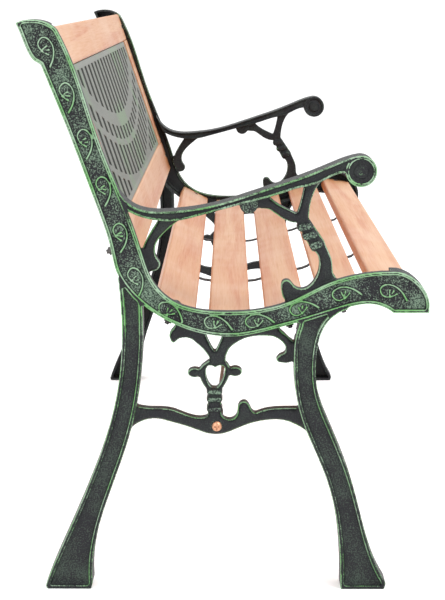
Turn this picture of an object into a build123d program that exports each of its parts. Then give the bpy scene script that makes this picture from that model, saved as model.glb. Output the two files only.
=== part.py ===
from build123d import *
from math import cos, radians, sin
import os

# A garden bench: two cast end frames, five seat slats, and a back of two rails, two stiles and a
# cast grille. All sizes are in millimetres. +X runs along the bench, -Y is the front, +Z is up.
# Side views of the bench are drawn as (forward, height): forward is 0 near the middle of the
# depth and grows towards the front, and height is measured from the ground.

# ---- Driving dimensions ----
LENGTH = 1220.0  # over the two end frames
CASTING = 38.0  # width of an end frame along X
CENTRE_FORWARD = -6.0  # forward value that lies at Y = 0

# Depths into an end frame, measured from its outer face
POCKET = 5.5  # floor of the outer pocket in the S-shaped band
WEB = 12.0  # inner face of the band's web
LEG_POCKET = 4.0  # floor of the outer pocket in a leg
LEG_WEB = 12.0  # inner face of a leg's web
ORNAMENT_OUT = 8.0  # outer face of the scrollwork
ORNAMENT_IN = 28.0  # inner face of the scrollwork
LUG_END = 45.0  # inner end of the lugs that the wood is bolted to
BOLT_DEPTH = 31.0  # bolt centres

# Rims left around pockets
BAND_RIM = 4.5
LEG_RIM = 5.0
ARM_RIM = 3.0
ARM_RECESS = 2.5
SPLINE_STEP = 8.0  # spacing of the points that a rim's inner edge is drawn through

# Wood
WOOD = 18.0  # thickness of slats, rails and stiles
WOOD_EDGE = 4.0  # rounding along a slat
WOOD_END = 13.0  # depth at which the wood ends, just clear of the web

# Seat slats: forward and height of the middle of the top face, tilt in degrees, width
SLATS = [
    (-68.4, 381.7, -27.0, 55.2),
    (-1.4, 366.5, 0.0, 54.7),
    (69.2, 378.7, 16.5, 53.2),
    (140.8, 399.8, 12.9, 55.0),
    (210.3, 408.0, -6.5, 53.5),
]

# Back: a plane that leans backwards through one point of its front face
BACK_LEAN = 18.5
BACK_FORWARD = -204.5
BACK_HEIGHT = 684.0
TOP_RAIL = (0.5, 54.0)  # lower and upper edge, measured up the back
BOTTOM_RAIL = (-269.0, -209.0)
STILE_SHOWING = 50.0  # width of a stile that shows beside the end frame

# Grille between the rails and stiles
GRILLE_THICK = 10.0
GRILLE_RECESS = 2.0
GRILLE_BORDER = 8.0
GRILLE_GAP = 0.5
SLOT_PITCH = 55.0
SLOT_WIDTH = 25.0
SLOT_COLUMNS = 18
# Each row of slots: the level of its upper limit and how much that rises to the ends, the same of
# its lower limit, and the first column from the middle that it has
SLOT_ROWS = [
    (-9.0, 0.0, -100.0, 85.0, 0),
    (-121.0, 79.0, -141.0, 76.0, 0),
    (-151.0, 73.0, -197.0, 68.0, 0),
    (-207.0, 68.0, -212.0, 0.0, 5),
]
# Screw tabs on the back of the grille
TAB_X = 310.0
TAB_LONG = 26.0  # along the edge
TAB_OVER = 14.0  # over the wood
TAB_ROOT = 6.0  # on the grille
TAB_THICK = 3.0

# Fasteners
BOLT_RADIUS = 3.0
BOLT_HEAD_RADIUS = 5.2
BOLT_HEAD_HEIGHT = 3.6
BOLT_SINK = 2.4  # how deep the heads are let into the wood
BOLT_LENGTH = 30.5
LUG_THICK = 5.5
LUG_HALF = 20.0
WASHER = (8.0, 1.5)  # radius and thickness
NUT = (5.0, 5.0)  # half the width across flats, and height
SPOT_FACE = 9.0  # radius of the room around heads and nuts
HEAD_ROOM = 8.0
FIT = 0.2  # clearance of a shank in its hole
SCREW_RADIUS = 1.75
SCREW_HEAD_RADIUS = 3.5
SCREW_HEAD_HEIGHT = 2.0
STRAP_SCREW = 15.0
TAB_SCREW = 14.0

# Straps under the slats
STRAP_X = 203.0
STRAP_WIDTH = 12.0
STRAP_THICK = 2.0
STRAP_DIP = 8.3  # how far it sags below the slats in each gap
STRAP_INSET = 14.0  # how far in from a slat's edges it leaves the slat
STRAP_SAG = [(0.3, 0.9), (0.5, 1.0), (0.7, 0.9)]  # share of the way between slats, share of the dip

# Struts under the seat, from the boss on each end frame up to the second slat
BOSS_FORWARD = -17.5
BOSS_HEIGHT = 220.8
BOSS_RADIUS = 9.0
BOSS = (7.0, 33.0)  # outer and inner face of the boss, as depths
STRUT_RADIUS = 2.5
STRUT_TAB = 2.5  # thickness of the flattened ends
STRUT_EYE = (16.0, 30.0)  # width and height of the lower end, which lies on the boss
STRUT_LOW = (34.5, -17.5, 233.0)  # depth, forward and height of the two ends of the bar
STRUT_HIGH = (366.0, 5.0, 345.6)
STRUT_FOOT = (358.0, 390.0)  # depths between which the upper end lies under the slat
STRUT_SCREW = 380.0  # depth of the screw in the upper end
BOSS_SCREW_RADIUS = 3.0
BOSS_SCREW_HEAD = 6.5
BOSS_SCREW_LENGTH = 37.0
BOSS_NUT = (5.0, 5.0)

# Dowels between rails and stiles
DOWEL_RADIUS = 4.0
DOWEL_HALF = 18.0

os.makedirs("parts", exist_ok=True)


# ---- Planes ----
def side_plane(depth):
    """The side view at a depth into the left end frame, facing outwards."""
    origin = (depth - LENGTH / 2, CENTRE_FORWARD, 0)
    return Plane(origin=origin, x_dir=(0, -1, 0), z_dir=(-1, 0, 0))


def seat_plane(slat, x):
    """A plane on a slat's top face, at x along the bench, with its normal out of the slat."""
    forward, height, tilt, _ = slat
    origin = (x, CENTRE_FORWARD - forward, height)
    return Plane(origin=origin, x_dir=(1, 0, 0), z_dir=(0, sin(radians(tilt)), cos(radians(tilt))))


def back_plane(rise=0.0, x=0.0, behind=0.0):
    """A plane on the back's front face, facing forwards: local x is along the bench, y up it."""
    lean = radians(BACK_LEAN)
    forward = BACK_FORWARD - rise * sin(lean) - behind * cos(lean)
    height = BACK_HEIGHT + rise * cos(lean) - behind * sin(lean)
    origin = (x, CENTRE_FORWARD - forward, height)
    return Plane(origin=origin, x_dir=(1, 0, 0), z_dir=(0, -cos(lean), sin(lean)))


BOLT_X = [BOLT_DEPTH - LENGTH / 2, LENGTH / 2 - BOLT_DEPTH]
RAILS = [TOP_RAIL, BOTTOM_RAIL]
SEAT_BOLT_PLANES = [seat_plane(slat, x) for slat in SLATS for x in BOLT_X]
BACK_BOLT_PLANES = [back_plane(sum(rail) / 2, x) for rail in RAILS for x in BOLT_X]


# ---- Side views ----
def outline(*runs):
    """A closed face. Each run goes on from the last one: one new point is a line, more a spline."""
    with BuildSketch() as face:
        with BuildLine():
            here = runs[-1][-1]
            for run in runs:
                points = [here, *run]
                if len(points) == 2:
                    Line(*points)
                else:
                    Spline(*points)
                here = run[-1]
        make_face()
    return face.sketch


def shrunk(face, rim):
    """The face that is left inside a rim, with each curved stretch of its edge drawn as a spline."""
    edges = face.face().outer_wire().offset_2d(-rim).edges()
    with BuildSketch() as inner:
        with BuildLine():
            for edge in edges:
                steps = 2 + int(edge.length / SPLINE_STEP)
                if edge.geom_type == GeomType.LINE:
                    Line(edge @ 0, edge @ 1)
                else:
                    Spline(*[edge @ (step / steps) for step in range(steps + 1)])
        make_face()
    return inner.sketch


def without(face, *others):
    """A face with other faces cut away."""
    with BuildSketch() as rest:
        add(face)
        for other in others:
            add(other, mode=Mode.SUBTRACT)
    return rest.sketch


def disc(forward, height, radius):
    """A round face."""
    with BuildSketch() as face:
        with Locations((forward, height)):
            Circle(radius)
    return face.sketch


def slat_section(slat, top=0.0, thick=WOOD, half=None, rounding=WOOD_EDGE):
    """A rectangle in a slat's own slope: its top lies below the slat's top face."""
    forward, height, tilt, width = slat
    size = width if half is None else 2 * half
    drop = (forward + top * sin(radians(tilt)), height - top * cos(radians(tilt)))
    with BuildSketch() as face:
        with Locations(drop):
            if rounding:
                RectangleRounded(size, thick, rounding, rotation=tilt, align=(Align.CENTER, Align.MAX))
            else:
                Rectangle(size, thick, rotation=tilt, align=(Align.CENTER, Align.MAX))
    return face.sketch


def back_section(low, high, front=0.0, thick=WOOD, rounding=0.0):
    """A rectangle in the back's own slope, from low to high up the back."""
    lean = radians(BACK_LEAN)
    middle = (low + high) / 2
    forward = BACK_FORWARD - middle * sin(lean) - front * cos(lean)
    height = BACK_HEIGHT + middle * cos(lean) - front * sin(lean)
    with BuildSketch() as face:
        with Locations((forward, height)):
            side = (Align.MAX, Align.CENTER)
            if rounding:
                RectangleRounded(thick, high - low, rounding, rotation=BACK_LEAN, align=side)
            else:
                Rectangle(thick, high - low, rotation=BACK_LEAN, align=side)
    return face.sketch


# The S-shaped band: the upright with its crown, and the seat rail with its nose
band = outline(
    [(-237, 688)],
    [(-208, 615), (-168, 505), (-153, 457), (-145, 424), (-127, 397), (-97, 371.5), (-62, 353.5)]
    + [(-23, 343), (14, 342.5), (50, 350), (97, 363), (140, 376.5), (180, 384), (209, 372.5)],
    [(255.5, 372.5)],
    [(255.5, 384)],
    [(252, 397), (240, 413), (225, 423), (205, 426)],
    [(160, 421.5), (120, 409), (80, 389), (36, 376.7), (0, 374), (-36, 376), (-72, 387)]
    + [(-98, 412), (-112, 447), (-126, 490), (-145, 538), (-168.5, 600), (-191.5, 673), (-217, 732)],
    [(-233, 741.5), (-246, 743.5), (-258, 742.5), (-267.5, 739)],
    [(-258, 716), (-252, 702), (-246, 693.3)],
)
# Everything in front of or above the middle of the band, where the rim is shallow
band_front = outline(
    [(-150, 500)], [(-133, 450)], [(-120, 415)], [(-92, 385)], [(-40, 362)], [(0, 358)], [(50, 364)],
    [(110, 384)], [(160, 402)], [(205, 403)], [(205, 600)], [(-120, 640)], [(-215, 760)],
    [(-226, 737)], [(-218, 690)], [(-186, 600)],
)
rear_leg = outline(
    [(-141, 385), (-140, 325), (-152.5, 240), (-186.7, 140), (-211.7, 82), (-232.5, 35), (-244.5, 4)],
    [(-242, 0)],
    [(-184, 0)],
    [(-182, 8)],
    [(-178, 63), (-161, 123), (-134, 200), (-121.5, 250), (-116, 288), (-113, 327), (-113, 380)],
    [(-115, 410)],
    [(-144, 418)],
)
front_leg = outline(
    [(84, 340), (82, 310), (86.5, 257), (98.5, 217), (122.5, 160), (140, 93), (145, 43), (146, 0)],
    [(204, 0)],
    [(206, 8)],
    [(188, 45), (172, 100), (155.5, 158), (130, 222), (113, 270), (110.8, 313), (119, 350), (151, 378)],
    [(148, 392)],
    [(92, 374)],
    [(88, 354)],
)
arm = outline(
    [(-141, 520)],
    [(-160, 571)],
    [(-152, 551), (-142.5, 529), (-124, 510.5), (-100, 503.6), (-73, 504), (-39, 508), (-7, 515.5)]
    + [(41, 531), (74.5, 542), (119, 559), (149, 571), (161, 574.1)],
    [(165, 560)],
    [(146, 553)],
    [(130, 549), (112, 540), (83, 532.5), (60, 525), (23, 515), (-10, 506), (-43, 497), (-68, 491.5)]
    + [(-90, 491.5), (-113, 496), (-134, 506)],
)
# Solid metal kept where the legs and the arm run into the band
leg_roots = outline(
    [(-153, 436)],
    [(-146.2, 423.2), (-128, 395.9), (-98, 370.3), (-62.5, 352.2), (-23, 341.7), (14, 341.2)]
    + [(50.5, 348.8), (97.5, 361.8), (140.5, 375.3), (180, 383)],
    [(180, 440)],
    [(-153, 440)],
)
arm_root = outline([(-125, 480)], [(-150, 590)], [(-220, 590)], [(-180, 480)])
ARM_SCROLL = (165.3, 554.5)
ARM_SCROLL_RADII = (20.0, 15.5, 9.0)  # outside, dish and ball
ROSETTE = (23.3, 512.0, 12.0)

# Scrollwork between the upright, the arm and the seat
brace = outline(
    [(-98, 482), (-107, 467), (-112.5, 455)],
    [(-116, 446)],
    [(-106, 424)],
    [(-98.6, 425)],
    [(-91, 430), (-90, 434), (-95, 443), (-97, 451), (-92, 466), (-81, 478), (-65, 491), (-50, 499)],
    [(-70, 497)],
    [(-90, 494)],
)
arm_fork = outline(
    [(75, 489), (57, 499.5), (46.7, 505.5), (35, 506.5), (30, 518)],
    [(48.5, 522)],
    [(60, 512), (70, 506.5), (85, 499.5)],
    [(90.2, 517), (94, 537)],
    [(110, 546)],
    [(128, 549)],
    [(114, 539), (105, 523), (100, 493)],
    [(83, 487.5)],
)
arm_neck = outline([(84, 489)], [(105, 450)], [(120.5, 463)], [(100, 493)])
arm_hook = outline(
    [(111, 447), (114, 432), (107, 412), (93, 402), (82, 405.5), (75, 413), (67.5, 412), (65.3, 407)]
    + [(70, 388)],
    [(72, 380)],
    [(128, 403)],
    [(135.5, 417)],
    [(132, 422), (131, 431), (129, 443), (124, 454), (120.5, 463)],
    [(105, 452.5)],
)

# Scrollwork under the seat: the stretcher between the legs and what stands on it
stretcher = outline(
    [(-101, 243.4), (-77, 241.8), (-57, 234.4), (-37, 230.8), (-29, 233)],
    [(-11, 234)],
    [(-7, 230), (0.5, 228.4), (6.5, 231.6), (9.3, 237.2), (10, 245.4), (13.2, 250.9), (18.4, 252.6)]
    + [(23.8, 249.2), (26.6, 243), (29.4, 238.8), (33.8, 237.2)],
    [(44, 241), (63, 243.6), (92, 244.2)],
    [(101, 212)],
    [(88, 220.3), (70, 227.4), (50, 228), (30, 224.3), (10, 216.8), (-10, 209.3), (-28, 209.3)]
    + [(-50, 216.8), (-77, 225.1), (-100, 229.6), (-122, 222.8), (-129, 217.8)],
    [(-124, 247)],
)
neck = outline([(-29.5, 229)], [(-12, 229)], [(-11.5, 271)], [(-29, 271)])
heart = outline(
    [(-29.6, 268)],
    [(-35.4, 275.4), (-40.2, 288.8), (-39.8, 296), (-34.7, 302.1), (-26.5, 307.9)],
    [(-9.5, 306.5)],
    [(-1.2, 297.9), (-1, 288.8), (-5.8, 277.2), (-11.5, 268)],
)
heart_hole = outline(
    [(-31.6, 293), (-29.6, 280.1), (-25.4, 272.9), (-20.6, 270), (-15.9, 272.9), (-10, 282), (-7.4, 292)]
    + [(-8, 299), (-12, 300.8), (-16.5, 300), (-19.6, 297.7)],
    [(-22.4, 299.6), (-27, 300.6), (-30.7, 298.4)],
)
HEART_BUDS = [(-46.3, 290.8), (6.2, 292.3)]
BUD_RADII = (9.0, 6.0)
knot = outline([(-27, 303)], [(-7, 303)], [(-7, 312), (-17, 320), (-27, 312)])
left_branch = outline(
    [(-29, 314), (-33.9, 320.6), (-39.7, 326.6), (-45.4, 331.7), (-52.1, 336.4), (-60.3, 337.6)]
    + [(-66.8, 335.8), (-71.5, 331.7), (-73.8, 330.4), (-76, 331.8)]
    + [(-77.9, 335.5), (-79.2, 340.5), (-77, 346), (-72, 352)],
    [(-71, 359)],
    [(-60, 360)],
    [(-33.5, 347)],
    [(-31, 340), (-26.5, 329.5), (-19.8, 318.5)],
    [(-25.8, 308)],
)
right_branch = outline(
    [(-5.6, 313.1), (-1.7, 322.4), (6, 329.6), (16.3, 335.6), (31.8, 339.6), (44.7, 340.1), (57.6, 338.3)]
    + [(64.5, 334.2), (69, 329.8), (71.5, 324.5), (70.5, 318), (63.2, 314.1), (60, 310.3), (59.7, 310)]
    + [(61.6, 305.6), (65.8, 304.6), (72.2, 304), (79, 305.5)],
    [(84, 307)],
    [(86, 328.5)],
    [(64.5, 348)],
    [(60, 358)],
    [(-8.5, 347)],
    [(-10.5, 340), (-14.5, 329.5), (-19.8, 318.5)],
    [(-8.3, 308)],
)
# Rounded rings around the necks: forward, height, length, thickness and tilt
RINGS = [
    (95.0, 483.0, 21.0, 10.4, 9.0),
    (101.5, 471.5, 20.0, 9.8, 13.0),
    (109.5, 459.5, 18.0, 10.4, 18.0),
    (-20.5, 266.5, 21.0, 6.6, 0.0),
    (-20.5, 256.5, 21.0, 6.6, 0.0),
    (-20.5, 243.5, 21.0, 6.6, 0.0),
]
RING_DEPTHS = (5.0, 31.0)
RING_ROUND = 2.6

slat_sections = [slat_section(slat, half=slat[3] / 2 + FIT, rounding=0) for slat in SLATS]
back_wood = back_section(BOTTOM_RAIL[0] - FIT, TOP_RAIL[1] + FIT)


def slab(face, near, far, mode=Mode.ADD):
    """Extrude a side view of the left end frame between two depths."""
    with BuildSketch(side_plane(far)) as view:
        add(face)
    extrude(view.sketch, amount=far - near, mode=mode)


# All the scrollwork as one face
with BuildSketch() as scrollwork:
    add(heart)
    add(heart_hole, mode=Mode.SUBTRACT)
    for shape in (brace, arm_fork, arm_neck, arm_hook, stretcher, neck, knot, left_branch, right_branch):
        add(shape)
    with Locations(*HEART_BUDS):
        Ellipse(*BUD_RADII)


def rounded_ring(forward, height, length, thick, tilt):
    """A ring that stands proud of the scrollwork on both sides, rounded over."""
    near, far = RING_DEPTHS
    with BuildPart() as ring:
        with BuildSketch(side_plane(far)):
            with Locations((forward, height)):
                SlotOverall(length, thick, rotation=tilt)
        extrude(amount=far - near)
        fillet(ring.faces().filter_by(Axis.X).edges(), RING_ROUND)
    return ring.part


# ---- End frames ----
def finish(part, name):
    """Name a finished piece and write it to its own file."""
    part.label = name
    export_step(part, f"parts/{name}.step")


def both_sides(face, depth):
    """Sink a face into the outer and the inner side of the casting."""
    slab(face, 0, depth, mode=Mode.SUBTRACT)
    slab(face, CASTING - depth, CASTING, mode=Mode.SUBTRACT)


with BuildPart() as left_end_frame:
    slab(band, 0, CASTING)
    slab(rear_leg, 0, CASTING)
    slab(front_leg, 0, CASTING)
    # Outer pocket of the band, and its inner side, which leaves the rear and lower flange
    slab(shrunk(band, BAND_RIM), 0, POCKET, mode=Mode.SUBTRACT)
    slab(shrunk(band, BAND_RIM), WEB, CASTING, mode=Mode.SUBTRACT)
    slab(band_front, WEB + 2, CASTING, mode=Mode.SUBTRACT)
    for leg in (rear_leg, front_leg):
        inside = without(shrunk(leg, LEG_RIM), leg_roots)
        slab(inside, 0, LEG_POCKET, mode=Mode.SUBTRACT)
        slab(inside, LEG_WEB, CASTING, mode=Mode.SUBTRACT)
    # Lugs for the slats and the rails
    for slat in SLATS:
        slab(slat_section(slat, WOOD, LUG_THICK, LUG_HALF, 0), POCKET + 2, LUG_END)
    for low, high in RAILS:
        middle = (low + high) / 2
        slab(back_section(middle - LUG_HALF, middle + LUG_HALF, WOOD, LUG_THICK), POCKET + 2, LUG_END)
    # Scrollwork
    slab(scrollwork.sketch, ORNAMENT_OUT, ORNAMENT_IN)
    slab(disc(BOSS_FORWARD, BOSS_HEIGHT, BOSS_RADIUS), *BOSS)
    for ring in RINGS:
        add(rounded_ring(*ring))
    # Arm, with its scroll and the rosette under it
    slab(arm, 0, CASTING)
    outside, dish, ball = [disc(*ARM_SCROLL, radius) for radius in ARM_SCROLL_RADII]
    slab(outside, 0, CASTING)
    both_sides(without(shrunk(arm, ARM_RIM), arm_root, outside), ARM_RECESS)
    both_sides(without(dish, ball), ARM_RECESS)
    slab(disc(*ROSETTE), ORNAMENT_OUT - 2, ORNAMENT_IN + 2)
    # Seats for the wood
    for section in slat_sections:
        slab(section, WEB, LUG_END + 1, mode=Mode.SUBTRACT)
    slab(back_wood, WEB, LUG_END + 1, mode=Mode.SUBTRACT)
    # Bolt holes, and room for the bolt heads above and the nuts below
    frame_bolts = [seat_plane(slat, BOLT_X[0]) for slat in SLATS]
    frame_bolts += [back_plane(sum(rail) / 2, BOLT_X[0]) for rail in RAILS]
    with Locations(*frame_bolts):
        Cylinder(SPOT_FACE, HEAD_ROOM, align=(Align.CENTER, Align.CENTER, Align.MIN), mode=Mode.SUBTRACT)
    with Locations(*[plane.offset(-WOOD - LUG_THICK) for plane in frame_bolts]):
        Cylinder(SPOT_FACE, LUG_HALF, align=(Align.CENTER, Align.CENTER, Align.MAX), mode=Mode.SUBTRACT)
        Cylinder(BOLT_RADIUS + FIT, 3 * LUG_THICK, mode=Mode.SUBTRACT)
    slab(disc(BOSS_FORWARD, BOSS_HEIGHT, BOSS_SCREW_RADIUS + FIT), 0, CASTING, mode=Mode.SUBTRACT)
finish(left_end_frame.part, "left_end_frame")

with BuildPart() as right_end_frame:
    mirror(left_end_frame.part, about=Plane.YZ)
finish(right_end_frame.part, "right_end_frame")

# ---- Wood ----
STRAP_POSITIONS = [-STRAP_X, STRAP_X]
STRUT_SLAT = SLATS[1]  # this one lies level


def strut_screw_plane(side, below):
    """A level plane at the screw of a strut's upper end, below the slat's top face."""
    x = side * (LENGTH / 2 - STRUT_SCREW)
    return Plane((x, CENTRE_FORWARD - STRUT_HIGH[1], STRUT_SLAT[1] - below))



for number, slat in enumerate(SLATS, start=1):
    with BuildPart() as seat_slat:
        with BuildSketch(side_plane(LENGTH - WOOD_END)) as section:
            add(slat_section(slat))
        extrude(amount=LENGTH - 2 * WOOD_END)
        with Locations(*[seat_plane(slat, x) for x in BOLT_X]):
            Cylinder(BOLT_RADIUS + FIT, 3 * WOOD, mode=Mode.SUBTRACT)
            Cylinder(BOLT_HEAD_RADIUS + FIT, 2 * BOLT_SINK, mode=Mode.SUBTRACT)
        with Locations(*[seat_plane(slat, x).offset(-WOOD) for x in STRAP_POSITIONS]):
            Cylinder(SCREW_RADIUS, 2 * (STRAP_SCREW - STRAP_THICK), mode=Mode.SUBTRACT)
        if slat == STRUT_SLAT:
            with Locations(*[strut_screw_plane(side, WOOD) for side in (-1, 1)]):
                Cylinder(SCREW_RADIUS, 2 * (STRAP_SCREW - STRUT_TAB), mode=Mode.SUBTRACT)
    finish(seat_slat.part, f"seat_slat_{number}")


def dowel_planes(side):
    """Where the dowels of one stile cross its joints with the rails, at the middle of the wood."""
    planes = []
    for rise in (TOP_RAIL[0], BOTTOM_RAIL[1]):
        for inset in (0.3, 0.7):
            x = side * (LENGTH / 2 - CASTING - STILE_SHOWING * inset)
            planes.append(back_plane(rise, x, WOOD / 2))
    return planes


def upright_cylinders(planes, radius, half, mode=Mode.ADD):
    """Cylinders that lie in the back and point up it, centred on the planes."""
    with Locations(*planes):
        Cylinder(radius, 2 * half, rotation=(90, 0, 0), mode=mode)


all_dowels = dowel_planes(-1) + dowel_planes(1)
stile_inside = LENGTH / 2 - CASTING - STILE_SHOWING
grille_low = BOTTOM_RAIL[1] + GRILLE_GAP
grille_high = TOP_RAIL[0] - GRILLE_GAP
grille_half = stile_inside - GRILLE_GAP

# Screw tabs of the grille: rise up the back and x of each one's middle, on the edge of the wood
tab_spots = [(rise, x) for rise in (grille_high, grille_low) for x in (-TAB_X, 0.0, TAB_X)]


def outward(rise):
    """Which way the wood lies from an edge of the grille, up the back or down it."""
    return 1 if rise == grille_high else -1


def turned(plane):
    """The same plane, facing the other way."""
    return Plane(origin=plane.origin, x_dir=plane.x_dir, z_dir=-plane.z_dir)


def tab_screw_plane(rise, x):
    """The back face of a tab at its screw, with the normal pointing back out of it."""
    return turned(back_plane(rise + outward(rise) * TAB_OVER / 2, x, WOOD + TAB_THICK))


tab_screw_planes = [tab_screw_plane(rise, x) for rise, x in tab_spots]

for name, rail in (("back_top_rail", TOP_RAIL), ("back_bottom_rail", BOTTOM_RAIL)):
    with BuildPart() as back_rail:
        with BuildSketch(side_plane(LENGTH - WOOD_END)) as section:
            add(back_section(*rail, rounding=WOOD_EDGE))
        extrude(amount=LENGTH - 2 * WOOD_END)
        with Locations(*[back_plane(sum(rail) / 2, x) for x in BOLT_X]):
            Cylinder(BOLT_RADIUS + FIT, 3 * WOOD, mode=Mode.SUBTRACT)
            Cylinder(BOLT_HEAD_RADIUS + FIT, 2 * BOLT_SINK, mode=Mode.SUBTRACT)
        upright_cylinders(all_dowels, DOWEL_RADIUS, DOWEL_HALF, mode=Mode.SUBTRACT)
        with Locations(*tab_screw_planes):
            Cylinder(SCREW_RADIUS, 2 * TAB_SCREW, mode=Mode.SUBTRACT)
    finish(back_rail.part, name)

for name, side in (("left_back_stile", -1), ("right_back_stile", 1)):
    with BuildPart() as back_stile:
        near = WOOD_END if side < 0 else LENGTH - CASTING - STILE_SHOWING
        far = CASTING + STILE_SHOWING if side < 0 else LENGTH - WOOD_END
        slab(back_section(BOTTOM_RAIL[1], TOP_RAIL[0]), near, far)
        upright_cylinders(dowel_planes(side), DOWEL_RADIUS, DOWEL_HALF, mode=Mode.SUBTRACT)
    finish(back_stile.part, name)

with BuildPart() as stile_dowels:
    upright_cylinders(all_dowels, DOWEL_RADIUS, DOWEL_HALF - 1)
finish(stile_dowels.part, "stile_dowels")


# ---- Grille ----
def limit(level, rise):
    """Ends and middle of a row's limit, which sags towards the middle of the bench."""
    return [(-grille_half, level + rise), (0, level), (grille_half, level + rise)]


def limit_line(ends, rise):
    """A row's limit as an arc, or as a line where it has no rise."""
    if rise:
        ThreePointArc(*ends)
    else:
        Line(ends[0], ends[2])


def slot_row(upper, upper_rise, lower, lower_rise, first):
    """One row of upright slots between two limits."""
    middles = [SLOT_PITCH * (column + 0.5) for column in range(first, SLOT_COLUMNS // 2)]
    with BuildSketch() as row:
        with Locations(*[(side * middle, 0) for middle in middles for side in (-1, 1)]):
            Rectangle(SLOT_WIDTH, 3 * (grille_high - grille_low))
        with BuildSketch(mode=Mode.INTERSECT):
            with BuildLine():
                top = limit(upper, upper_rise)
                low = limit(lower, lower_rise)
                limit_line(top, upper_rise)
                Line(top[2], low[2])
                limit_line(low[::-1], lower_rise)
                Line(low[0], top[0])
            make_face()
        with Locations((0, (grille_low + grille_high) / 2)):
            inside = grille_high - grille_low - 2 * GRILLE_BORDER
            Rectangle(2 * grille_half, inside, mode=Mode.INTERSECT)
    return row.sketch


with BuildPart() as back_grille:
    with BuildSketch(back_plane(behind=GRILLE_RECESS + GRILLE_THICK)) as plate:
        with Locations((0, (grille_low + grille_high) / 2)):
            Rectangle(2 * grille_half, grille_high - grille_low)
        for row in SLOT_ROWS:
            add(slot_row(*row), mode=Mode.SUBTRACT)
    extrude(amount=GRILLE_THICK)
    for rise, x in tab_spots:
        with BuildSketch(back_plane(rise, x, WOOD + TAB_THICK)):
            with Locations((0, outward(rise) * (TAB_OVER - TAB_ROOT) / 2)):
                Rectangle(TAB_LONG, TAB_OVER + TAB_ROOT)
        extrude(amount=TAB_THICK)
        with BuildSketch(back_plane(rise, x, WOOD)):
            with Locations((0, -outward(rise) * TAB_ROOT / 2)):
                Rectangle(TAB_LONG, TAB_ROOT)
        extrude(amount=WOOD - GRILLE_RECESS - GRILLE_THICK)
    with Locations(*tab_screw_planes):
        Cylinder(SCREW_RADIUS + FIT, 3 * TAB_THICK, mode=Mode.SUBTRACT)
finish(back_grille.part, "back_grille")


# ---- Fasteners ----
def domed_fastener(head_radius, head_height, shank_radius, length):
    """A bolt or screw along -Z: its head stands on the origin, with a cross cut in its dome."""
    shoulder = head_height / 4
    bow = (head_radius * 0.7, head_height * 0.83)
    cut = head_radius * 1.1
    with BuildPart() as fastener:
        with BuildSketch(Plane.XZ):
            with BuildLine():
                Polyline((0, head_height), (0, -length), (shank_radius, -length), (shank_radius, 0))
                Polyline((shank_radius, 0), (head_radius, 0), (head_radius, shoulder))
                ThreePointArc((head_radius, shoulder), bow, (0, head_height))
            make_face()
        revolve(axis=Axis.Z)
        with Locations((0, 0, head_height)):
            for long, wide in ((cut, cut / 4), (cut / 4, cut)):
                Box(long, wide, head_height * 1.2, mode=Mode.SUBTRACT)
    return fastener.part


def flat_ring(outer, thick, hole):
    """A washer below the origin."""
    with BuildPart() as ring:
        with BuildSketch():
            Circle(outer)
            Circle(hole, mode=Mode.SUBTRACT)
        extrude(amount=-thick)
    return ring.part


def hex_nut(half_flats, thick, hole):
    """A nut below the origin."""
    with BuildPart() as nut:
        with BuildSketch():
            RegularPolygon(half_flats, 6, major_radius=False)
            Circle(hole, mode=Mode.SUBTRACT)
        extrude(amount=-thick)
    return nut.part


def fastener_group(name, piece, planes):
    """The same piece on each plane, as one group of separate solids."""
    with BuildPart() as group:
        with Locations(*planes):
            add(piece)
    finish(group.part, name)


bolt = domed_fastener(BOLT_HEAD_RADIUS, BOLT_HEAD_HEIGHT, BOLT_RADIUS, BOLT_LENGTH)
washer = flat_ring(*WASHER, BOLT_RADIUS + FIT)
nut = hex_nut(*NUT, BOLT_RADIUS)
under_lug = -WOOD - LUG_THICK
for place, planes in (("seat", SEAT_BOLT_PLANES), ("back", BACK_BOLT_PLANES)):
    fastener_group(f"{place}_bolts", bolt, [plane.offset(-BOLT_SINK) for plane in planes])
    fastener_group(f"{place}_washers", washer, [plane.offset(under_lug) for plane in planes])
    fastener_group(f"{place}_nuts", nut, [plane.offset(under_lug - WASHER[1]) for plane in planes])

tab_screw = domed_fastener(SCREW_HEAD_RADIUS, SCREW_HEAD_HEIGHT, SCREW_RADIUS, TAB_SCREW)
fastener_group("grille_screws", tab_screw, tab_screw_planes)


# ---- Straps under the slats ----
def strap_edge(level):
    """The line of a strap at a level below the slats' top faces, with a slight dip in each gap."""
    points = []
    for slat in SLATS:
        forward, height, tilt, width = slat
        across, rise = cos(radians(tilt)), sin(radians(tilt))
        middle = (forward + level * rise, height - level * across)
        half = width / 2 - STRAP_INSET
        rear = (middle[0] - half * across, middle[1] - half * rise)
        front = (middle[0] + half * across, middle[1] + half * rise)
        if points:
            last = points[-1]
            for share, sag in STRAP_SAG:
                along = last[0] + (rear[0] - last[0]) * share
                points.append((along, last[1] + (rear[1] - last[1]) * share - STRAP_DIP * sag))
        points += [rear, front]
    return points


for name, x in (("left_seat_strap", -STRAP_X), ("right_seat_strap", STRAP_X)):
    with BuildPart() as seat_strap:
        with BuildSketch() as section:
            with BuildLine():
                upper = strap_edge(WOOD)
                lower = strap_edge(WOOD + STRAP_THICK)
                Polyline(*upper, *reversed(lower), close=True)
            make_face()
        middle = x + LENGTH / 2
        slab(section.sketch, middle - STRAP_WIDTH / 2, middle + STRAP_WIDTH / 2)
        with Locations(*[seat_plane(slat, x).offset(-WOOD) for slat in SLATS]):
            Cylinder(SCREW_RADIUS + FIT, 4 * STRAP_THICK, mode=Mode.SUBTRACT)
    finish(seat_strap.part, name)

strap_screw = domed_fastener(SCREW_HEAD_RADIUS, SCREW_HEAD_HEIGHT, SCREW_RADIUS, STRAP_SCREW)
strap_screw_planes = [
    turned(seat_plane(slat, x).offset(-WOOD - STRAP_THICK)) for slat in SLATS for x in STRAP_POSITIONS
]
fastener_group("strap_screws", strap_screw, strap_screw_planes)

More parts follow.
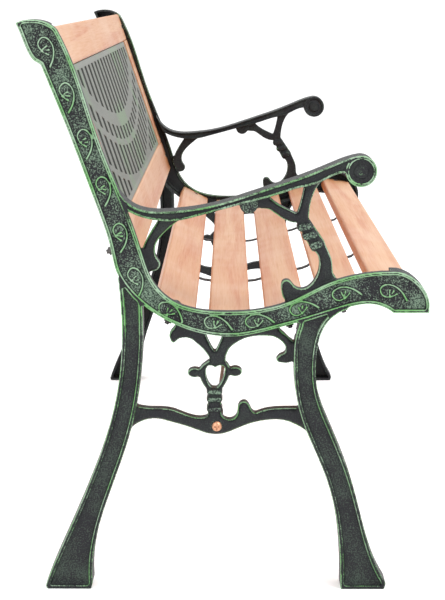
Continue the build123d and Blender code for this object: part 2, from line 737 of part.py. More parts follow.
# ---- Struts under the seat ----
def in_left_half(depth, forward, height):
    """A point in space from its depth and its place in the side view."""
    return Vector(depth - LENGTH / 2, CENTRE_FORWARD - forward, height)


def boss_plane(side, depth):
    """A plane across a boss at a depth, facing outwards."""
    origin = (side * (LENGTH / 2 - depth), CENTRE_FORWARD - BOSS_FORWARD, BOSS_HEIGHT)
    return Plane(origin, x_dir=(0, 1, 0), z_dir=(side, 0, 0))


strut_start = in_left_half(*STRUT_LOW)
strut_end = in_left_half(*STRUT_HIGH)
strut_run = strut_end - strut_start
eye_width, eye_height = STRUT_EYE
with BuildPart() as left_seat_strut:
    with Locations(Plane((strut_start + strut_end) * 0.5, z_dir=strut_run)):
        Cylinder(STRUT_RADIUS, strut_run.length)
    with BuildSketch(side_plane(BOSS[1] + STRUT_TAB)):
        with Locations((BOSS_FORWARD, BOSS_HEIGHT + (eye_height - eye_width) / 2)):
            SlotOverall(eye_height, eye_width, rotation=90)
        with Locations((BOSS_FORWARD, BOSS_HEIGHT)):
            Circle(BOSS_SCREW_RADIUS + FIT, mode=Mode.SUBTRACT)
    extrude(amount=STRUT_TAB)
    with BuildSketch(strut_screw_plane(-1, WOOD + STRUT_TAB)):
        with Locations((sum(STRUT_FOOT) / 2 - STRUT_SCREW, 0)):
            Rectangle(STRUT_FOOT[1] - STRUT_FOOT[0], eye_width)
        Circle(SCREW_RADIUS + FIT, mode=Mode.SUBTRACT)
    extrude(amount=STRUT_TAB)
finish(left_seat_strut.part, "left_seat_strut")

with BuildPart() as right_seat_strut:
    mirror(left_seat_strut.part, about=Plane.YZ)
finish(right_seat_strut.part, "right_seat_strut")

boss_screw = domed_fastener(BOSS_SCREW_HEAD, BOLT_HEAD_HEIGHT, BOSS_SCREW_RADIUS, BOSS_SCREW_LENGTH)
boss_nut = hex_nut(*BOSS_NUT, BOSS_SCREW_RADIUS)
fastener_group("strut_bolts", boss_screw, [boss_plane(side, BOSS[0]) for side in (-1, 1)])
fastener_group("strut_nuts", boss_nut, [boss_plane(side, BOSS[1] + STRUT_TAB) for side in (-1, 1)])
strut_foot_planes = [turned(strut_screw_plane(side, WOOD + STRUT_TAB)) for side in (-1, 1)]
fastener_group("strut_screws", strap_screw, strut_foot_planes)
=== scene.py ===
import math

import bpy
import numpy as np
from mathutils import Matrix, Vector, noise
from mathutils.kdtree import KDTree


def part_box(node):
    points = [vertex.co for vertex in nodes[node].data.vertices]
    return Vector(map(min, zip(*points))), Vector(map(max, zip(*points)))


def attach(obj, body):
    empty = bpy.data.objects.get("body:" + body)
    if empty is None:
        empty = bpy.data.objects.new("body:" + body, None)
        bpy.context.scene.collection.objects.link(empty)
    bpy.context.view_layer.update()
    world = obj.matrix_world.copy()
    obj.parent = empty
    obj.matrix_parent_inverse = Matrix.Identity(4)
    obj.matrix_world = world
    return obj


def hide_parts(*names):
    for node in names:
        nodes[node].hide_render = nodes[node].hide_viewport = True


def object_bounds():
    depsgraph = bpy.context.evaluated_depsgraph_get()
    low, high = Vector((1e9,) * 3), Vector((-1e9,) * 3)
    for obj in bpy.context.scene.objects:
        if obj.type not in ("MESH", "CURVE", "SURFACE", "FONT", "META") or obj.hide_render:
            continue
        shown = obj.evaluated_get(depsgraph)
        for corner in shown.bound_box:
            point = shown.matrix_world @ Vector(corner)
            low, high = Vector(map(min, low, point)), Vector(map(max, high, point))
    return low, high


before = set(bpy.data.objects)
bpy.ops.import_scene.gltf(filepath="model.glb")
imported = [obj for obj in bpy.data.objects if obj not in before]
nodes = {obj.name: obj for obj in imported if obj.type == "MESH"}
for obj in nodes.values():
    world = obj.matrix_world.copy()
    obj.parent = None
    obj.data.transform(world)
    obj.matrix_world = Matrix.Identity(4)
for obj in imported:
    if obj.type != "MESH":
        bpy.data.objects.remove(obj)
cad_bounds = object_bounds()

# ---- Units and the bench's side view ----
MM = 0.001
WELD = 0.01 * MM  # vertices closer than this are one
HALF_LENGTH = cad_bounds[1][0]
CENTRE_FORWARD = -6.0  # forward value, in mm, that lies at Y = 0


def side_point(forward, height, depth):
    """A point of the left end frame: mm forward and up, and mm inwards from its outer face."""
    return Vector((-HALF_LENGTH + depth * MM, (CENTRE_FORWARD - forward) * MM, height * MM))


# ---- Camera ----
CAMERA_DISTANCE = 2.0484  # metres from the outer face of the left end frame
CAMERA_Y = -0.0052
CAMERA_Z = 0.7765
CAMERA_PITCH = 10.695  # degrees down
CAMERA_YAW = 0.26
CAMERA_LENS = 97.73
SENSOR_WIDTH = 36.0

camera_data = bpy.data.cameras.new("camera")
camera_data.lens = CAMERA_LENS
camera_data.sensor_width = SENSOR_WIDTH
camera = bpy.data.objects.new("camera", camera_data)
bpy.context.scene.collection.objects.link(camera)
camera.location = (-HALF_LENGTH - CAMERA_DISTANCE, CAMERA_Y, CAMERA_Z)
camera.rotation_euler = (math.radians(90 - CAMERA_PITCH), 0, math.radians(CAMERA_YAW - 90))
bpy.context.scene.camera = camera


# ---- Material helpers ----
def new_material(name):
    """An empty node material: returns it, its node tree and its shader."""
    material = bpy.data.materials.new(name)
    material.use_nodes = True
    tree = material.node_tree
    return material, tree, tree.nodes["Principled BSDF"]


def add_node(tree, kind, inputs=None, **settings):
    """A node with its settings, and its inputs as values or as sockets to link from."""
    node = tree.nodes.new(kind)
    for key, value in settings.items():
        setattr(node, key, value)
    for key, value in (inputs or {}).items():
        if isinstance(value, bpy.types.NodeSocket):
            tree.links.new(value, node.inputs[key])
        else:
            node.inputs[key].default_value = value
    return node


def coordinates(tree, scale=(1, 1, 1)):
    """The object's own coordinates, in metres, scaled."""
    source = add_node(tree, "ShaderNodeTexCoord").outputs["Object"]
    mapping = add_node(tree, "ShaderNodeMapping", {"Vector": source, "Scale": scale})
    return mapping.outputs["Vector"]


def noise_value(tree, vector, scale, detail=4.0, roughness=0.55, distortion=0.0):
    """A noise between 0 and 1."""
    node = add_node(tree, "ShaderNodeTexNoise", {
        "Vector": vector, "Scale": scale, "Detail": detail, "Roughness": roughness,
        "Distortion": distortion,
    })
    return node.outputs["Fac"]


def remap(tree, value, low, high, to_low=0.0, to_high=1.0):
    """A value from low..high to to_low..to_high, smoothly and held at the ends."""
    node = add_node(tree, "ShaderNodeMapRange", {
        "Value": value, "From Min": low, "From Max": high, "To Min": to_low, "To Max": to_high,
    }, interpolation_type="SMOOTHSTEP")
    return node.outputs["Result"]


def math_value(tree, operation, first, second=0.0):
    """The result of a math node."""
    node = add_node(tree, "ShaderNodeMath", {0: first, 1: second}, operation=operation)
    return node.outputs[0]


def dot_value(tree, vector, direction):
    """How far a vector goes in a direction."""
    inputs = {0: vector, 1: tuple(direction)}
    node = add_node(tree, "ShaderNodeVectorMath", inputs, operation="DOT_PRODUCT")
    return node.outputs["Value"]


def mix_colour(tree, factor, first, second):
    """Two colours mixed. Each is a socket or an (r, g, b)."""
    node = tree.nodes.new("ShaderNodeMix")
    node.data_type = "RGBA"
    for index, value in ((0, factor), (6, first), (7, second)):
        if isinstance(value, bpy.types.NodeSocket):
            tree.links.new(value, node.inputs[index])
        elif index == 0:
            node.inputs[index].default_value = value
        else:
            node.inputs[index].default_value = (*value, 1.0)
    return node.outputs[2]


def bump(tree, shader, height, distance, strength):
    """A bump on the shader's normal, with its distance in metres."""
    inputs = {"Height": height, "Distance": distance, "Strength": strength}
    node = add_node(tree, "ShaderNodeBump", inputs)
    tree.links.new(node.outputs["Normal"], shader.inputs["Normal"])


def from_srgb(red, green, blue):
    """A colour given as 0-255 screen values, in linear light."""
    def linear(value):
        value /= 255
        return value / 12.92 if value <= 0.04045 else ((value + 0.055) / 1.055) ** 2.4
    return (linear(red), linear(green), linear(blue))


# ---- Materials ----
def iron_material():
    """Dark casting with light green dry-brushed over what stands proud."""
    material, tree, shader = new_material("cast_iron")
    where = coordinates(tree)
    brush = add_node(tree, "ShaderNodeAttribute", attribute_name="brush").outputs["Fac"]
    speckle = add_node(tree, "ShaderNodeAttribute", attribute_name="speckle").outputs["Fac"]
    grain = noise_value(tree, where, 520, detail=3, roughness=0.7)
    streak = noise_value(tree, where, 130, detail=5, roughness=0.65)
    clouds = noise_value(tree, where, 26, detail=3)
    dark = mix_colour(tree, noise_value(tree, where, 60), from_srgb(10, 11, 15), from_srgb(22, 21, 28))
    tint = math_value(tree, "MULTIPLY", remap(tree, clouds, 0.45, 0.7), speckle)
    dark = mix_colour(tree, tint, dark, from_srgb(30, 52, 40))
    # Grey-green dust that sits on the grain of the sunk faces, in clouds
    dusty = math_value(tree, "ADD", grain, math_value(tree, "MULTIPLY", clouds, 0.4))
    flecks = math_value(tree, "MULTIPLY", remap(tree, dusty, 0.67, 0.82), speckle)
    colour = mix_colour(tree, flecks, dark, from_srgb(132, 156, 134))
    # The brush, which catches on edges and breaks up over rough metal
    rough = math_value(tree, "MULTIPLY", math_value(tree, "ADD", grain, streak), 0.7)
    brushed = remap(tree, math_value(tree, "ADD", brush, rough), 1.08, 1.45)
    hue = remap(tree, noise_value(tree, where, 20, detail=2), 0.35, 0.65)
    green = mix_colour(tree, hue, from_srgb(106, 160, 98), from_srgb(146, 174, 146))
    colour = mix_colour(tree, math_value(tree, "MULTIPLY", brushed, 0.9), colour, green)
    tree.links.new(colour, shader.inputs["Base Color"])
    tree.links.new(remap(tree, grain, 0.3, 0.7, 0.34, 0.56), shader.inputs["Roughness"])
    shader.inputs["Specular IOR Level"].default_value = 0.28
    bump(tree, shader, grain, 0.0008, 0.9)
    return material


def wood_material(name, side_shade):
    """Light salmon hardwood under a satin varnish, with its grain along the bench.

    The last argument is how far the faces that stand upright turn to a darker orange, painted shade on the
    sides of the boards.
    """
    material, tree, shader = new_material(name)
    where = coordinates(tree)
    long_grain = coordinates(tree, scale=(0.9, 16, 16))
    fine_grain = coordinates(tree, scale=(4, 160, 160))
    flow = noise_value(tree, long_grain, 2.6, detail=5, roughness=0.6, distortion=0.6)
    fibre = noise_value(tree, fine_grain, 3.0, detail=4, roughness=0.7)
    board = noise_value(tree, coordinates(tree, scale=(0.35, 9, 9)), 2.0, detail=1)
    shade = remap(tree, board, 0.3, 0.7)
    colour = mix_colour(tree, shade, from_srgb(194, 148, 110), from_srgb(184, 129, 86))
    colour = mix_colour(tree, remap(tree, flow, 0.4, 0.68, 0, 0.95), colour, from_srgb(176, 108, 64))
    pores = remap(tree, fibre, 0.56, 0.78, 0, 0.35)
    colour = mix_colour(tree, pores, colour, from_srgb(132, 76, 48))
    light = remap(tree, noise_value(tree, where, 9, detail=2), 0.4, 0.7, 0, 0.35)
    colour = mix_colour(tree, light, colour, from_srgb(200, 164, 138))
    normal = add_node(tree, "ShaderNodeNewGeometry").outputs["Normal"]
    upward = add_node(tree, "ShaderNodeSeparateXYZ", {0: normal}).outputs["Z"]
    # Painted shade: upright faces, the sides of the boards, are turned darker orange as they look in shade
    painted_side_shade = remap(tree, math_value(tree, "ABSOLUTE", upward), 0.85, 0.45, 0, side_shade)
    colour = mix_colour(tree, painted_side_shade, colour, from_srgb(184, 108, 62))
    tree.links.new(colour, shader.inputs["Base Color"])
    tree.links.new(remap(tree, fibre, 0.3, 0.8, 0.38, 0.55), shader.inputs["Roughness"])
    shader.inputs["Coat Weight"].default_value = 0.15
    shader.inputs["Coat Roughness"].default_value = 0.3
    bump(tree, shader, fibre, 0.0003, 0.5)
    return material


def grille_material(low, high, half, border):
    """Grey-green paint with patches of green, and a painted highlight that makes the border slightly
    lighter.

    low and high are levels up the back, half is half the length and border a width, in metres.
    """
    material, tree, shader = new_material("grille")
    where = coordinates(tree)
    source = add_node(tree, "ShaderNodeTexCoord").outputs["Object"]
    up = dot_value(tree, source, BACK_UP)
    sideways = add_node(tree, "ShaderNodeSeparateXYZ", {0: source}).outputs["X"]
    along = math_value(tree, "ABSOLUTE", sideways)
    soft = border * 0.15
    top = remap(tree, up, high - border - soft, high - border + soft)
    base = remap(tree, up, low + border + soft, low + border - soft)
    ends = remap(tree, along, half - border - soft, half - border + soft)
    edge = math_value(tree, "MAXIMUM", math_value(tree, "MAXIMUM", top, base), ends)
    grey = mix_colour(tree, noise_value(tree, where, 14), from_srgb(88, 91, 86), from_srgb(108, 111, 104))
    patches = remap(tree, noise_value(tree, where, 9, detail=2), 0.5, 0.68, 0, 0.7)
    grey = mix_colour(tree, patches, grey, from_srgb(92, 120, 86))
    grain = noise_value(tree, where, 380, detail=3, roughness=0.7)
    grey = mix_colour(tree, remap(tree, grain, 0.55, 0.75, 0, 0.4), grey, from_srgb(58, 62, 60))
    # Painted highlight: the border is made slightly lighter
    colour = mix_colour(tree, math_value(tree, "MULTIPLY", edge, 0.2), grey, from_srgb(150, 153, 146))
    # Painted shade: the walls of the slots are darkened, as they look in shade
    facing = add_node(tree, "ShaderNodeNewGeometry").outputs["Normal"]
    frontal = math_value(tree, "ABSOLUTE", dot_value(tree, facing, BACK_OUT))
    painted_slot_shade = remap(tree, frontal, 0.75, 0.35)
    colour = mix_colour(tree, painted_slot_shade, colour, from_srgb(56, 58, 55))
    tree.links.new(colour, shader.inputs["Base Color"])
    shader.inputs["Roughness"].default_value = 0.5
    bump(tree, shader, grain, 0.0004, 0.6)
    return material


def metal_material(name, colour, worn, metallic, roughness):
    """Plated or painted metal with small scuffs."""
    material, tree, shader = new_material(name)
    scuff = noise_value(tree, coordinates(tree), 240, detail=4, roughness=0.65)
    mixed = mix_colour(tree, remap(tree, scuff, 0.45, 0.7), colour, worn)
    tree.links.new(mixed, shader.inputs["Base Color"])
    shader.inputs["Metallic"].default_value = metallic
    dull = remap(tree, scuff, 0.3, 0.7, roughness, roughness + 0.18)
    tree.links.new(dull, shader.inputs["Roughness"])
    bump(tree, shader, scuff, 0.0002, 0.4)
    return material


def give(material, *names):
    """Put a material on CAD nodes."""
    for name in names:
        slots = nodes[name].data.materials
        slots.clear()
        slots.append(material)


# The way up the leaning back, and the way out of its front face
BACK_LEAN = math.radians(18.5)
BACK_UP = Vector((0, math.sin(BACK_LEAN), math.cos(BACK_LEAN)))
BACK_OUT = Vector((0, -math.cos(BACK_LEAN), math.sin(BACK_LEAN)))

iron = iron_material()
seat_wood = wood_material("seat_wood", 0.55)
back_wood = wood_material("back_wood", 0.0)
steel = metal_material("fasteners", from_srgb(86, 84, 84), from_srgb(120, 116, 112), 0.9, 0.38)
copper = metal_material("copper", from_srgb(214, 160, 128), from_srgb(150, 98, 70), 0.85, 0.3)
struts = metal_material("struts", from_srgb(112, 96, 86), from_srgb(150, 138, 126), 0.7, 0.35)
black = metal_material("strap", from_srgb(26, 27, 29), from_srgb(58, 58, 60), 0.2, 0.45)

give(seat_wood, *[name for name in nodes if name.startswith("seat_slat")])
give(back_wood, "back_top_rail", "back_bottom_rail", "left_back_stile", "right_back_stile", "stile_dowels")
give(steel, "seat_bolts", "seat_washers", "seat_nuts", "back_bolts", "back_washers", "back_nuts")
give(steel, "grille_screws", "strap_screws", "strut_nuts", "strut_screws")
give(black, "left_seat_strap", "right_seat_strap")
give(struts, "left_seat_strut", "right_seat_strut")
give(copper, "strut_bolts")

# ---- Grille ----
GRILLE_EDGE = 0.8 * MM  # rounding of its edges
TAB_OVER = 14 * MM  # how far its tabs reach over the rails
GRILLE_BORDER = 8 * MM


def soften(name, width):
    """Round the sharp edges of a CAD node by a modifier; its mesh stays as it is."""
    weld = nodes[name].modifiers.new("weld", "WELD")
    weld.merge_threshold = WELD
    bevel = nodes[name].modifiers.new("bevel", "BEVEL")
    bevel.width = width
    bevel.segments = 2
    bevel.limit_method = "ANGLE"
    bevel.angle_limit = math.radians(40)
    bevel.harden_normals = False


soften("back_grille", GRILLE_EDGE)
levels = [BACK_UP.dot(Vector(v.co)) for v in nodes["back_grille"].data.vertices]
grille_low = min(levels) + TAB_OVER
grille_high = max(levels) - TAB_OVER
grille_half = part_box("back_grille")[1][0]
give(grille_material(grille_low, grille_high, grille_half, GRILLE_BORDER), "back_grille")


# ---- Curves ----
TUBE_SIDES = 10
TIP_REACH = 0.7  # how far a tube's end bulges, as a share of its radius
TIP_RADIUS = 0.5  # radius of the flat at its tip, as a share of its radius


def smooth_path(points, steps=12):
    """A curve through the points, with steps points for each: a Catmull-Rom spline."""
    before = 2 * np.array(points[0]) - points[1]
    after = 2 * np.array(points[-1]) - points[-2]
    p = np.array([before, *points, after], float)
    out = []
    for i in range(1, len(p) - 2):
        for t in np.linspace(0, 1, steps, endpoint=False):
            a = 2 * p[i]
            b = p[i + 1] - p[i - 1]
            c = 2 * p[i - 1] - 5 * p[i] + 4 * p[i + 1] - p[i + 2]
            d = 3 * p[i] - p[i - 1] - 3 * p[i + 1] + p[i + 2]
            out.append(0.5 * (a + b * t + c * t * t + d * t ** 3))
    out.append(p[-2])
    return np.array(out)


def place_on(path, distance):
    """The point and the direction at a distance, in mm, along a path of points."""
    steps = np.linalg.norm(np.diff(path, axis=0), axis=1)
    run = np.concatenate([[0], np.cumsum(steps)])

    def point_at(where):
        return np.array([np.interp(where, run, path[:, k]) for k in range(path.shape[1])])

    way = point_at(distance + 2) - point_at(distance - 2)
    return point_at(distance), way / np.linalg.norm(way)


class Mesh:
    """Vertices and faces that tubes are added to."""

    def __init__(self):
        self.vertices = []
        self.faces = []

    def tube(self, points, radii, sides=TUBE_SIDES):
        """A closed round tube along 3-D points, with a radius at each and domed ends."""
        points = [Vector(p) for p in points]
        first = len(self.vertices)
        rings = []
        for i, point in enumerate(points):
            way = (points[min(i + 1, len(points) - 1)] - points[max(i - 1, 0)]).normalized()
            rings.append((point, way, radii[i]))
        start, way, radius = rings[0]
        rings.insert(0, (start - way * radius * TIP_REACH, way, radius * TIP_RADIUS))
        end, way, radius = rings[-1]
        rings.append((end + way * radius * TIP_REACH, way, radius * TIP_RADIUS))
        for point, way, radius in rings:
            side_shade = way.cross(Vector((1, 0, 0))).normalized()
            out = way.cross(side_shade).normalized()
            for k in range(sides):
                angle = 2 * math.pi * k / sides
                self.vertices.append(point + (side_shade * math.cos(angle) + out * math.sin(angle)) * radius)
        for i in range(len(rings) - 1):
            for k in range(sides):
                a = first + i * sides + k
                b = first + i * sides + (k + 1) % sides
                self.faces.append((a, b, b + sides, a + sides))
        self.faces.append(tuple(first + k for k in reversed(range(sides))))
        last = first + (len(rings) - 1) * sides
        self.faces.append(tuple(last + k for k in range(sides)))


# ---- Relief on the band: a row of curls with stamens ----
# The middle line of the band in the side view, as mm forward and up, from the top of the back down
BAND_MIDDLE = [
    (-240, 728), (-217, 682), (-190, 612), (-150, 505), (-134, 455), (-116, 408), (-86, 380), (-52, 366),
    (-18, 359), (14, 359), (48, 365), (92, 379), (135, 395), (178, 403), (222, 396), (246, 384),
]
CURL_PLACES = [25, 87, 149, 213, 276, 336, 396, 458, 511, 570, 628, 690]  # mm along the band
CURL_LEVEL = 3.9  # depth of the middle of the raised lines
# One curl, as mm along the band and across it towards the front: a line that starts at the root
# of its stamens, loops over and runs out in a long tail
ARCH = [
    (-4.8, -7.5), (-9.8, -7.8), (-14.3, -5), (-16.6, 0.5), (-14.3, 5.3), (-8.3, 8.1), (-0.8, 8.1),
    (6.2, 5.5), (13.2, 0.5), (19.7, -7),
]
ARCH_RADII = (0.85, 1.45)  # at its root and at the end of its tail
STAMEN_ROOT = (-3.5, -8.5)
STAMEN_TIPS = [(-4.6, 1.2), (0.6, 1.6), (5.4, -1.6)]
STAMEN_RADII = [(0.1, 0.8), (0.55, 0.8), (1.0, 1.3)]  # share of the way to the tip, radius there


def relief():
    """The raised curls of the left end frame."""
    raised = Mesh()
    path = smooth_path(BAND_MIDDLE)
    arch = smooth_path(ARCH, 5)
    arch_radii = np.linspace(*ARCH_RADII, len(arch)) * MM
    root = np.array(STAMEN_ROOT)
    for place in CURL_PLACES:
        middle, way = place_on(path, place)
        left = np.array((-way[1], way[0]))

        def spot(along, across):
            forward, height = middle + way * along + left * across
            return side_point(forward, height, CURL_LEVEL)

        raised.tube([spot(*p) for p in arch], arch_radii)
        for tip in STAMEN_TIPS:
            line = [root + (np.array(tip) - root) * share for share, _ in STAMEN_RADII]
            raised.tube([spot(*p) for p in line], [radius * MM for _, radius in STAMEN_RADII])
    return raised


# ---- End frames: one skin over the casting and its relief ----
VOXEL = 1.1 * MM
PROUD_ROUNDS = 3  # how many times neighbours are averaged to find what stands proud
SCROLL_DEPTHS = (8.0, 28.0)  # outer and inner face of the scrollwork
SCROLL_ROUND = 4.4
SHARP = 0.12  # how far, in mm, an edge of the scrollwork stands proud
SCROLL_CORNER = (0.7, 1.2)  # how far before and behind its outer face an edge is looked for
ARM_SCROLL = (165.3, 554.5)  # forward and height of the arm's scroll
CAST_DEPTH = 0.22 * MM  # how deep the casting's fine grain goes
CAST_GRAIN = 260  # scale of its noise, per metre
HAMMERED_DEPTH = 2.8  # depth of the coarse dents in the legs, as a multiple of the grain's
HAMMERED_GRAIN = 170
LEG_POCKET = (2.8, 4.7)  # depths that hold the sunk faces of the legs
LEG_TOP = 0.42  # in metres


def as_object(name, vertices, faces):
    """A linked mesh object."""
    data = bpy.data.meshes.new(name)
    data.from_pydata([tuple(v) for v in vertices], [], [tuple(f) for f in faces])
    obj = bpy.data.objects.new(name, data)
    bpy.context.scene.collection.objects.link(obj)
    return obj


def mesh_arrays(data):
    """Vertex places and edges as arrays."""
    places = np.zeros(len(data.vertices) * 3)
    data.vertices.foreach_get("co", places)
    edges = np.zeros(len(data.edges) * 2, dtype=int)
    data.edges.foreach_get("vertices", edges)
    return places.reshape(-1, 3), edges.reshape(-1, 2)


def neighbour_mean(values, edges, count):
    """The mean of each vertex's neighbours."""
    total = np.zeros_like(values)
    np.add.at(total, edges[:, 0], values[edges[:, 1]])
    np.add.at(total, edges[:, 1], values[edges[:, 0]])
    return total / np.maximum(count, 1)[:, None]


def rise(value, low, high):
    """0 below low, 1 above high, smooth between."""
    t = np.clip((value - low) / (high - low), 0, 1)
    return t * t * (3 - 2 * t)


def fall(value, low, high):
    """1 below low, 0 above high, smooth between."""
    return rise(-value, -high, -low)


def mesh_normals(data):
    """Vertex normals as an array."""
    normals = np.zeros(len(data.vertices) * 3)
    data.vertices.foreach_get("normal", normals)
    return normals.reshape(-1, 3)


def standing_proud(data):
    """How far, in mm, each vertex stands out of the mean of those around it."""
    places, edges = mesh_arrays(data)
    count = np.bincount(edges.ravel(), minlength=len(places))
    mean = places
    for _ in range(PROUD_ROUNDS):
        mean = neighbour_mean(mean, edges, count)
    return np.einsum("ij,ij->i", places - mean, mesh_normals(data)) / MM


def round_over(data):
    """Round the outer edges of the scrollwork, so that its branches are domed."""
    near, far = SCROLL_DEPTHS
    before, behind = SCROLL_CORNER
    places, _ = mesh_arrays(data)
    depth = (places[:, 0] + HALF_LENGTH) / MM
    corner = (depth > near - before) & (depth < near + behind) & (standing_proud(data) > SHARP)
    tree = KDTree(int(corner.sum()))
    for i, place in enumerate(places[corner]):
        tree.insert((0, place[1], place[2]), i)
    tree.balance()
    for i in np.flatnonzero((depth > near - before) & (depth < far)):
        away = tree.find((0, places[i, 1], places[i, 2]))[2] / MM
        if away < SCROLL_ROUND:
            drop = SCROLL_ROUND - math.sqrt(SCROLL_ROUND ** 2 - (SCROLL_ROUND - away) ** 2)
            places[i, 0] += drop * MM * min(1.0, (far - depth[i]) / (far - near))
    data.vertices.foreach_set("co", places.ravel())
    data.update()


def roughen(data):
    """Sand-cast unevenness, always inwards, and coarser on the sunk faces of the legs."""
    places, _ = mesh_arrays(data)
    normals = mesh_normals(data)
    depth = (places[:, 0] + HALF_LENGTH) / MM
    in_leg = (depth > LEG_POCKET[0]) & (depth < LEG_POCKET[1]) & (places[:, 2] < LEG_TOP)
    in_leg &= normals[:, 0] < -0.8
    amount = np.zeros(len(places))
    for i, place in enumerate(places):
        at = Vector(place)
        amount[i] = 0.5 + 0.5 * noise.noise(at * CAST_GRAIN)
        if in_leg[i]:
            dent = 0.5 + 0.5 * noise.noise(at * HAMMERED_GRAIN + Vector((5, 0, 0)))
            amount[i] = 0.6 * amount[i] + HAMMERED_DEPTH * dent
    places -= normals * (amount * CAST_DEPTH)[:, None]
    low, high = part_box("left_end_frame")
    places = np.clip(places, np.array(low), np.array(high))
    data.vertices.foreach_set("co", places.ravel())
    data.update()


# Where things lie on the casting, in mm, with a soft margin each
BAND_STARTS = (335, 350)  # height
ARM_STARTS = (480, 492)  # height
ARM_REAR = (-150, -135)  # forward
SCROLL_RIM = (20, 23)  # from the middle of the arm's scroll
SCROLL_DISH = (13.5, 15)
SCROLL_BALL = (5, 11)
BAND_FLOOR = (4.4, 5.0)  # depth
RING_FRONT = (7.4, 7.9)  # depth


def paint(data):
    """How much green is brushed on each vertex, and how much dust sits there."""
    places, _ = mesh_arrays(data)
    normals = mesh_normals(data)
    outward = -normals[:, 0]
    depth = (places[:, 0] + HALF_LENGTH) / MM
    forward = CENTRE_FORWARD - places[:, 1] / MM
    height = places[:, 2] / MM
    from_scroll = np.hypot(forward - ARM_SCROLL[0], height - ARM_SCROLL[1])
    upper = rise(height, *BAND_STARTS)
    above_seat = rise(height, *ARM_STARTS) * rise(forward, *ARM_REAR)
    on_arm = above_seat * rise(from_scroll, *SCROLL_RIM)
    # Rings stand further out than branches, about level with the band's floor
    branch_or_ring = rise(depth, 4.2, 4.8) * fall(depth, 8.2, 8.8)
    ring = fall(depth, *RING_FRONT)

    # Convex edges catch most, above all on the outer side; those in the scroll's dish catch little
    edge = 0.92 * rise(standing_proud(data), 0.1, 0.28)
    edge *= (0.5 + 0.5 * fall(depth, 9, 26)) * (1 - 0.36 * on_arm)
    edge *= 0.58 + 0.42 * np.maximum(upper, 0.7 * rise(normals[:, 1], 0.1, 0.5))
    edge *= 1 - 0.7 * branch_or_ring * ring
    edge *= 1 - 0.75 * fall(from_scroll, *SCROLL_DISH)
    edge *= 1 + 0.4 * rise(depth, 7.3, 7.9) * fall(depth, 10, 11)
    # The rest is brushed more softly
    curls = 0.8 * rise(outward, 0.1, 0.6) * fall(depth, 3.0, 4.0) * rise(depth, 1.4, 2.0) * upper
    curls *= 1 - above_seat
    branches = 0.24 * branch_or_ring * rise(outward, 0.5, 0.9) * (0.5 + 0.5 * ring)
    level = 0.32 * rise(normals[:, 2], 0.3, 0.8) * fall(depth, 20, 30)
    rim = 0.2 * rise(outward, 0.6, 0.9) * fall(depth, 0.5, 1.2) * upper
    ball = 0.34 * fall(from_scroll, *SCROLL_BALL) * rise(outward, 0.3, 0.8)
    brush = np.maximum.reduce([rim, curls, edge, level, branches, ball])

    # Dust lies in the pockets, most of all in the band's
    pocket = rise(outward, 0.6, 0.9) * rise(depth, 3.2, 3.8) * fall(depth, 6, 7.5)
    speckle = 0.05 + pocket * (0.09 + 0.5 * rise(depth, *BAND_FLOOR))
    for name, values in (("brush", brush), ("speckle", speckle)):
        layer = data.attributes.new(name, "FLOAT", "POINT")
        layer.data.foreach_set("value", values.astype(np.float32))


def casting():
    """The left end frame's visible skin, as a mesh with its amounts of green and dust."""
    source = nodes["left_end_frame"].data
    vertices = [v.co.copy() for v in source.vertices]
    faces = [tuple(p.vertices) for p in source.polygons]
    raised = relief()
    first = len(vertices)
    vertices += raised.vertices
    faces += [tuple(first + k for k in face) for face in raised.faces]
    obj = as_object("left_end_casting", vertices, faces)
    weld = obj.modifiers.new("weld", "WELD")
    weld.merge_threshold = WELD
    skin = obj.modifiers.new("skin", "REMESH")
    skin.mode = "VOXEL"
    skin.voxel_size = VOXEL
    ease = obj.modifiers.new("ease", "SMOOTH")
    ease.factor = 0.5
    ease.iterations = 2
    bpy.context.view_layer.update()
    evaluated = obj.evaluated_get(bpy.context.evaluated_depsgraph_get())
    data = bpy.data.meshes.new_from_object(evaluated)
    obj.modifiers.clear()
    obj.data = data
    paint(data)
    round_over(data)
    roughen(data)
    data.shade_smooth()
    return obj


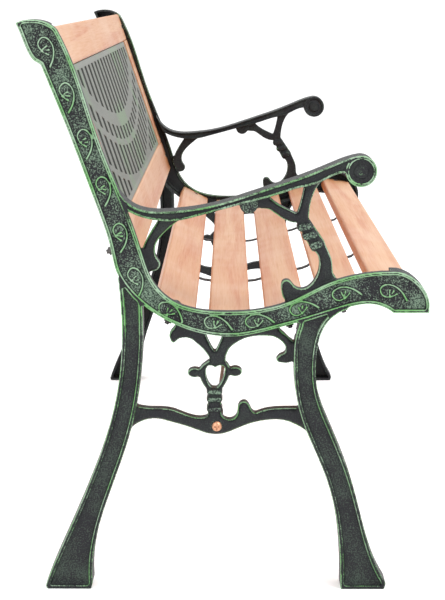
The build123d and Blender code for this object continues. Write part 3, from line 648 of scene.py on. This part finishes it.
def mirrored(obj, name):
    """The same piece on the other side of X = 0."""
    data = obj.data.copy()
    places, _ = mesh_arrays(data)
    places[:, 0] *= -1
    data.vertices.foreach_set("co", places.ravel())
    data.flip_normals()
    other = bpy.data.objects.new(name, data)
    bpy.context.scene.collection.objects.link(other)
    return other


left_casting = casting()
left_casting.data.materials.append(iron)
right_casting = mirrored(left_casting, "right_end_casting")
for piece, node in ((left_casting, "left_end_frame"), (right_casting, "right_end_frame")):
    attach(piece, "root")
    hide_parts(node)


# ---- Floor, light and world ----
FLOOR_HALF = 200.0  # metres, so that its far edge is out of view
AIM = (0, 0, 0.4)


def build_floor():
    """A plain pale floor that runs past the view."""
    corners = [(x * FLOOR_HALF, y * FLOOR_HALF, 0) for x, y in ((-1, -1), (1, -1), (1, 1), (-1, 1))]
    floor = as_object("floor", corners, [(0, 1, 2, 3)])
    material, _, shader = new_material("floor")
    shader.inputs["Base Color"].default_value = (0.93, 0.93, 0.93, 1)
    shader.inputs["Emission Color"].default_value = (1, 1, 1, 1)
    shader.inputs["Emission Strength"].default_value = 0.2
    shader.inputs["Roughness"].default_value = 0.9
    shader.inputs["Specular IOR Level"].default_value = 0.1
    floor.data.materials.append(material)


def area_light(name, place, size, power):
    """A square soft light aimed at the bench, with its size in metres and its power in watts."""
    data = bpy.data.lights.new(name, "AREA")
    data.energy = power
    data.size = size
    light = bpy.data.objects.new(name, data)
    bpy.context.scene.collection.objects.link(light)
    light.location = place
    light.rotation_euler = (Vector(AIM) - Vector(place)).to_track_quat("-Z", "Y").to_euler()


build_floor()
area_light("key", (-2.2, -2.4, 3.2), 2.2, 90)
area_light("fill", (-3.0, 2.2, 2.2), 2.5, 45)
area_light("top", (0.6, -0.2, 3.6), 3.0, 60)

world = bpy.data.worlds.new("world")
world.use_nodes = True
background = world.node_tree.nodes["Background"]
background.inputs["Color"].default_value = (1, 1, 1, 1)
background.inputs["Strength"].default_value = 1.0
bpy.context.scene.world = world
bpy.context.scene.view_settings.view_transform = "Standard"
